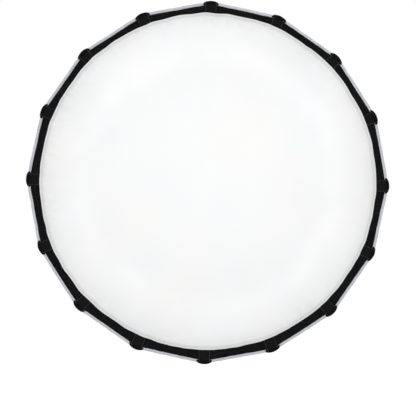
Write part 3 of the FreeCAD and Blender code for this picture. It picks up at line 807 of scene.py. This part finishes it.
def painted_rim_shade(cloth, from_edge):
    """RIM_PAINTED_SHADE, the painted rim shade, as a curve over the distance from the cloth's edge.
    """
    share = cloth.maths("DIVIDE", from_edge, PAINTED_SHADE_WIDTH)
    rim = cloth.node("ShaderNodeFloatCurve", [("Value", share)])
    curve = rim.mapping.curves[0]
    curve.points[0].location = RIM_PAINTED_SHADE[0]
    curve.points[-1].location = RIM_PAINTED_SHADE[-1]
    for place, level in RIM_PAINTED_SHADE[1:-1]:
        curve.points.new(place, level)
    rim.mapping.update()
    return rim.outputs[0]


def diffuser_cloth():
    cloth = Finish("diffuser_cloth", (0.9, 0.91, 0.91), 0.82, Sheen_Weight=0.05)
    patches = cloth.spread(cloth.cloud(4.5, detail=2.0), 0.0, 1.0, 0.35, 0.65)
    tint = cloth.colours(patches, (0.917, 0.915, 0.912), (0.930, 0.918, 0.904))
    from_edge = cloth.parts("UV")["Y"]
    blotches = cloth.maths("MULTIPLY",
                           cloth.spread(cloth.cloud(7.0, detail=2.0), -0.022, 0.022, 0.3, 0.7),
                           cloth.spread(from_edge, 1.0, 0.1, 0.06, 0.30))
    puckers = pucker_lines(cloth, from_edge)
    # Painted shade: the pucker streaks also shade the colour along them, as painted crease shade
    # beside their bump.
    # Painted shade: the rim shade curve darkens the cloth's colour towards its edge.
    shade = cloth.maths("ADD", cloth.maths("ADD", painted_rim_shade(cloth, from_edge), blotches),
                        cloth.maths("MULTIPLY", puckers, 0.045))
    off_line = cloth.maths("ABSOLUTE", cloth.maths("SUBTRACT", from_edge, HEM_WIDTH))
    hem_line = cloth.maths("MULTIPLY", cloth.spread(off_line, 1.0, 0.0, 0.0002, 0.0013), 0.75)
    stitched = cloth.colours(hem_line, cloth.scaled(tint, shade), (0.55, 0.555, 0.56))
    cloth.set("Base Color", stitched)
    cloth.bump(cloth.weave(0.0009, "Object"), 0.00006)
    cloth.bump(cloth.cloud(5.0), 0.006, 0.12)
    cloth.bump(puckers, 0.0006, 0.5)
    return cloth.material


DIFFUSER_CLOTH = diffuser_cloth()


def front_diffuser():
    """A thin closed disc spun from its own profile, then drawn to its uneven edge."""
    cloth = bmesh.new()
    radii = [CLOTH_EDGE * (k / RINGS) ** 0.75 for k in range(RINGS)]
    radii += [CLOTH_EDGE - HEM_WIDTH * (1 - k / HEM_RINGS) for k in range(HEM_RINGS + 1)]
    radii = sorted(set(radii))
    front = [cloth.verts.new((0, -CLOTH_DEPTH - CLOTH_THICKNESS, radius)) for radius in radii]
    back = [cloth.verts.new((0, -CLOTH_DEPTH, radius)) for radius in reversed(radii)]
    line = front + back
    edges = [cloth.edges.new(pair) for pair in zip(line, line[1:])]
    bmesh.ops.spin(cloth, geom=line + edges, cent=(0, 0, 0), axis=(0, 1, 0), angle=math.tau,
                   steps=SPOKES, use_merge=True)
    bmesh.ops.remove_doubles(cloth, verts=cloth.verts, dist=1e-6)
    for vert in cloth.verts:
        radius = math.hypot(vert.co.x, vert.co.z)
        if radius < 1e-6:
            vert.co.y -= PILLOW
            continue
        angle = math.atan2(vert.co.x, vert.co.z)
        share = radius / CLOTH_EDGE
        drawn = radius + (cloth_edge(angle) - CLOTH_EDGE) * share ** 6
        from_edge = cloth_edge(angle) - drawn
        pucker = TUG * round_noise(angle, 26, 2.2)
        pucker *= math.exp(-abs(from_edge - HEM_WIDTH) / TUG_REACH)
        hem = HEM_RAISED if from_edge < HEM_WIDTH - 0.001 else 0.0
        uneven = BILLOW * noise.noise(Vector((vert.co.x * 4, vert.co.z * 4, 9)))
        billow = PILLOW * (1 - share ** 2) + uneven
        height = billow * (1 - share ** 8) + (pucker if from_edge > 0.002 else 0) + hem
        if vert.co.y > -CLOTH_DEPTH - CLOTH_THICKNESS / 2:
            height -= hem
        vert.co = Vector((drawn * math.sin(angle), vert.co.y - height, drawn * math.cos(angle)))
    uv = cloth.loops.layers.uv.new("metres")
    for face in cloth.faces:
        for loop in face.loops:
            place = loop.vert.co
            angle = math.atan2(place.x, place.z)
            loop[uv].uv = (angle * CLOTH_EDGE, cloth_edge(angle) - math.hypot(place.x, place.z))
    bmesh.ops.recalc_face_normals(cloth, faces=cloth.faces)
    return new_piece("front_diffuser_cloth", cloth, DIFFUSER_CLOTH)


diffuser = front_diffuser()
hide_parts("front_diffuser")
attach(diffuser, "diffuser")


# ---- Ribs
# Each cast arm turns on a steel pin in its slot of the hub, and holds the end of a black
# glass-fibre rod that bends to its corner pocket.


def glass_fibre():
    rod = Finish("glass_fibre", (0.018, 0.018, 0.02), 0.3, Coat_Weight=0.35, Coat_Roughness=0.2)
    rod.set("Base Color", rod.colours(rod.cloud(160.0), (0.012, 0.012, 0.014), (0.03, 0.03, 0.033)))
    rod.set("Roughness", rod.mottled(400.0, 0.25, 0.42))
    rod.bump(rod.cloud(1400.0, detail=2.0), 0.0001, 0.5)
    return rod.material


def cast_arm():
    arm = Finish("cast_arm", (0.03, 0.03, 0.032), 0.45, Metallic=0.2)
    cast = arm.colours(arm.cloud(60.0), (0.024, 0.024, 0.026), (0.042, 0.042, 0.045))
    arm.set("Base Color", cast)
    arm.soften(0.0006)
    arm.bump(arm.cloud(1500.0, detail=2.0), 0.0002, 0.6)
    return arm.material


def zinc_steel():
    steel = Finish("zinc_steel", (0.56, 0.57, 0.58), 0.32, Metallic=1.0)
    steel.set("Roughness", steel.mottled(300.0, 0.24, 0.42))
    steel.soften(0.0003)
    steel.bump(steel.cloud(900.0), 0.0001, 0.5)
    return steel.material


def set_finish(node, material):
    """Gives a carried-over CAD node its material."""
    made = frame["nodes"][node]
    for holder in made.material_slots:
        holder.material = material
    if not made.material_slots:
        made.data.materials.append(material)


GLASS_FIBRE = glass_fibre()
CAST_ARM = cast_arm()
ZINC_STEEL = zinc_steel()

for rib in range(RIBS):
    set_finish(f"rib_rod_{rib + 1:02d}", GLASS_FIBRE)
    set_finish(f"rib_arm_{rib + 1:02d}", CAST_ARM)
set_finish("hinge_pins", ZINC_STEEL)
set_finish("bayonet_screws", ZINC_STEEL)


# ---- Hub
# The moulded speed ring carries the arms. A turned aluminium plate with three claws is screwed to
# its back, a release ring with two thumb tabs turns behind the ribs, and a collar holds the hem.


def moulded_plastic(name, dark, light, roughness):
    plastic = Finish(name, dark, roughness)
    plastic.set("Base Color", plastic.colours(plastic.cloud(25.0), dark, light))
    plastic.set("Roughness", plastic.mottled(90.0, roughness - 0.06, roughness + 0.08))
    plastic.soften(0.0007)
    plastic.bump(plastic.cloud(1800.0, detail=2.0), 0.00025, 0.6)
    return plastic.material


def turned_aluminium():
    metal = Finish("turned_aluminium", (0.70, 0.71, 0.72), 0.3, Metallic=1.0)
    place = metal.parts("Object")
    squares = [metal.maths("POWER", place[axis], 2.0) for axis in ("X", "Z")]
    radius = metal.maths("SQRT", metal.maths("ADD", *squares))
    bright = metal.colours(metal.cloud(30.0), (0.62, 0.63, 0.64), (0.76, 0.77, 0.78))
    metal.set("Base Color", bright)
    metal.set("Roughness", metal.mottled(140.0, 0.24, 0.4))
    metal.soften(0.0005)
    metal.bump(metal.ridges(radius, 0.0007), 0.00006)
    return metal.material


HUB_PLASTIC = moulded_plastic("hub_plastic", (0.016, 0.016, 0.018), (0.026, 0.026, 0.028), 0.5)
RING_PLASTIC = moulded_plastic("ring_plastic", (0.028, 0.028, 0.031), (0.042, 0.042, 0.045), 0.42)
TURNED_ALUMINIUM = turned_aluminium()

set_finish("hub_ring", HUB_PLASTIC)
set_finish("shell_collar", HUB_PLASTIC)
set_finish("bayonet_ring", TURNED_ALUMINIUM)

RING_BACK, RING_FRONT = -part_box("lock_ring")[1].y, -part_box("lock_ring")[0].y
RING_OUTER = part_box("lock_ring")[1].z
RING_INNER = 0.0703
RING_CHAMFER = 0.0009
GROOVE_INNER, GROOVE_OUTER = 0.0975, 0.1020
GROOVE_SLOPE, GROOVE_DEPTH = 0.001, 0.0007
GRIP_NOTCHES = 64
GRIP_DEPTH = 0.0009
TAB_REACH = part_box("lock_ring")[1].x
THUMB_HALF_WIDTH = 0.012
THUMB_ROOT = 0.006
THUMB_THINNER = 0.0004
THUMB_CORNER, THUMB_EDGE = 0.004, 0.0007
THUMB_EDGE_TURN = math.radians(60)
RIDGES = 4
RIDGE_RADIUS, RIDGE_LENGTH = 0.0007, 0.016
RIDGE_SPACING = 0.003
RIDGE_SUNK = 0.0003


def release_ring():
    """The ring, spun from its profile and notched round its edge, with two ridged thumb tabs."""
    ring = bmesh.new()
    back, front, edge = RING_BACK, RING_FRONT, RING_CHAMFER
    floor = back + GROOVE_DEPTH
    profile = [(RING_INNER, front), (RING_INNER, back + edge), (RING_INNER + edge, back),
               (GROOVE_INNER, back), (GROOVE_INNER + GROOVE_SLOPE, floor),
               (GROOVE_OUTER - GROOVE_SLOPE, floor), (GROOVE_OUTER, back),
               (RING_OUTER - edge, back), (RING_OUTER, back + edge),
               (RING_OUTER, front - edge), (RING_OUTER - edge, front)]
    line = [ring.verts.new((0, -depth, radius)) for radius, depth in profile]
    edges = [ring.edges.new((line[k - 1], line[k])) for k in range(len(line))]
    bmesh.ops.spin(ring, geom=line + edges, cent=(0, 0, 0), axis=(0, 1, 0), angle=math.tau,
                   steps=512, use_merge=True)
    bmesh.ops.remove_doubles(ring, verts=ring.verts, dist=1e-7)
    for vert in ring.verts:
        radius = math.hypot(vert.co.x, vert.co.z)
        if radius > RING_OUTER - 0.0002:
            angle = math.atan2(vert.co.x, vert.co.z)
            notch = clamped(3 * math.cos(GRIP_NOTCHES * angle) - 1)
            vert.co *= 1 - GRIP_DEPTH * notch / radius
    for way in (-1, 1):
        add_thumb_tab(ring, way)
    bmesh.ops.recalc_face_normals(ring, faces=ring.faces)
    return new_piece("release_ring", ring, RING_PLASTIC)


def add_thumb_tab(ring, way):
    """One tab with rounded corners, and ridges across it for the thumb."""
    inner, middle = RING_OUTER - THUMB_ROOT, (RING_BACK + RING_FRONT) / 2
    size = (TAB_REACH - inner, RING_FRONT - RING_BACK - THUMB_THINNER, 2 * THUMB_HALF_WIDTH)
    placed = bmesh.ops.create_cube(ring, size=1)["verts"]
    bmesh.ops.scale(ring, vec=size, verts=placed)
    bmesh.ops.translate(ring, vec=(way * (TAB_REACH + inner) / 2, -middle, 0), verts=placed)
    sides = {edge for vert in placed for edge in vert.link_edges}
    corners = [edge for edge in sides if abs(edge.verts[0].co.y - edge.verts[1].co.y) > 0.001
               and abs(edge.verts[0].co.x) > RING_OUTER]
    rounded = bmesh.ops.bevel(ring, geom=corners, offset=THUMB_CORNER, segments=6, profile=0.5,
                              affect="EDGES", material=-1)
    verts = [vert for vert in placed + rounded["verts"] if vert.is_valid]
    edges = {edge for vert in verts for face in vert.link_faces for edge in face.edges}
    rims = [edge for edge in edges if edge.calc_face_angle(0) > THUMB_EDGE_TURN]
    bmesh.ops.bevel(ring, geom=rims, offset=THUMB_EDGE, segments=3, profile=0.5,
                    affect="EDGES", material=-1)
    for ridge in range(RIDGES):
        bar = bmesh.ops.create_cone(ring, cap_ends=True, segments=16, radius1=RIDGE_RADIUS,
                                    radius2=RIDGE_RADIUS, depth=RIDGE_LENGTH)["verts"]
        reach = way * (RING_OUTER + RIDGE_SPACING + RIDGE_SPACING * ridge)
        bmesh.ops.translate(ring, vec=(reach, -RING_BACK - RIDGE_SUNK, 0), verts=bar)


ring = release_ring()
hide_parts("lock_ring")
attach(ring, "lock")


# ---- Studio
# A white floor, an even pale surround and large soft lamps. The camera looks straight into the box.

CAMERA_DISTANCE = 5.2
BOX_SHARE = 0.875721
LENS_SHIFT = (0.000962, -0.061178)
ROLL = math.radians(1.1)
SENSOR = 36.0
FLOOR_LEVEL = -1.15
FLOOR_GLOW = 1.06
WORLD_STRENGTH = 0.62
LAMP_TARGET = Vector((0, -0.3, 0))


def white_floor():
    floor = Finish("white_floor", (0.86, 0.86, 0.86), 0.8)
    rays = floor.node("ShaderNodeLightPath").outputs
    seen = floor.maths("MAXIMUM", rays["Is Camera Ray"], rays["Is Glossy Ray"])
    seen = floor.maths("MAXIMUM", seen, rays["Is Transmission Ray"])
    links = [("Color", (1, 1, 1, 1)), ("Strength", FLOOR_GLOW)]
    glow = floor.node("ShaderNodeEmission", links).outputs[0]
    links = [(0, floor.maths("MULTIPLY", seen, 0.9)), (1, floor.shader.outputs[0]), (2, glow)]
    mix = floor.node("ShaderNodeMixShader", links)
    out = floor.tree.nodes["Material Output"]
    floor.tree.links.new(mix.outputs[0], out.inputs["Surface"])
    return floor.material


def pale_world():
    """White where the camera sees it, and a slightly cool pale light on the box."""
    world = bpy.data.worlds.new("pale_surround")
    world.use_nodes = True
    tree = world.node_tree
    tree.nodes.clear()
    rays = tree.nodes.new("ShaderNodeLightPath")
    either = tree.nodes.new("ShaderNodeMath")
    either.operation = "MAXIMUM"
    tree.links.new(rays.outputs["Is Camera Ray"], either.inputs[0])
    tree.links.new(rays.outputs["Is Transmission Ray"], either.inputs[1])
    seen = tree.nodes.new("ShaderNodeBackground")
    seen.inputs["Color"].default_value = (1, 1, 1, 1)
    lit = tree.nodes.new("ShaderNodeBackground")
    lit.inputs["Color"].default_value = (0.96, 0.98, 1.0, 1)
    lit.inputs["Strength"].default_value = WORLD_STRENGTH
    mix = tree.nodes.new("ShaderNodeMixShader")
    out = tree.nodes.new("ShaderNodeOutputWorld")
    tree.links.new(either.outputs[0], mix.inputs[0])
    tree.links.new(lit.outputs[0], mix.inputs[1])
    tree.links.new(seen.outputs[0], mix.inputs[2])
    tree.links.new(mix.outputs[0], out.inputs["Surface"])
    bpy.context.scene.world = world


def soft_lamp(name, place, size, power):
    """A large square lamp that faces the middle of the box."""
    lamp = bpy.data.lights.new(name, "AREA")
    lamp.size = size
    lamp.energy = power
    made = bpy.data.objects.new(name, lamp)
    made.location = place
    towards = LAMP_TARGET - Vector(place)
    made.rotation_euler = towards.to_track_quat("-Z", "Y").to_euler()
    bpy.context.scene.collection.objects.link(made)


def camera():
    """A camera square to the box, whose rim takes up BOX_SHARE of the picture's width."""
    data = bpy.data.cameras.new("camera")
    data.sensor_width = SENSOR
    width = (cad_box[1].x - cad_box[0].x) / BOX_SHARE
    data.lens = SENSOR * (CAMERA_DISTANCE - LIP_FRONT) / width
    data.shift_x, data.shift_y = LENS_SHIFT
    made = bpy.data.objects.new("camera", data)
    made.matrix_world = (Matrix.Translation((0, -CAMERA_DISTANCE, 0))
                         @ Matrix.Rotation(math.pi / 2, 4, "X") @ Matrix.Rotation(ROLL, 4, "Z"))
    bpy.context.scene.collection.objects.link(made)
    bpy.context.scene.camera = made


ground = bmesh.new()
bmesh.ops.create_grid(ground, x_segments=1, y_segments=1, size=14)
bmesh.ops.translate(ground, vec=(0, 0, FLOOR_LEVEL), verts=ground.verts)
floor = new_piece("floor", ground, white_floor())
pale_world()
soft_lamp("key_lamp", (-2.2, -4.0, 2.6), 2.4, 77)
soft_lamp("fill_lamp", (2.8, -3.6, 1.2), 2.6, 44)
soft_lamp("back_lamp", (1.6, 3.2, 2.4), 2.0, 70)
camera()
bpy.context.scene.view_settings.view_transform = "Standard"
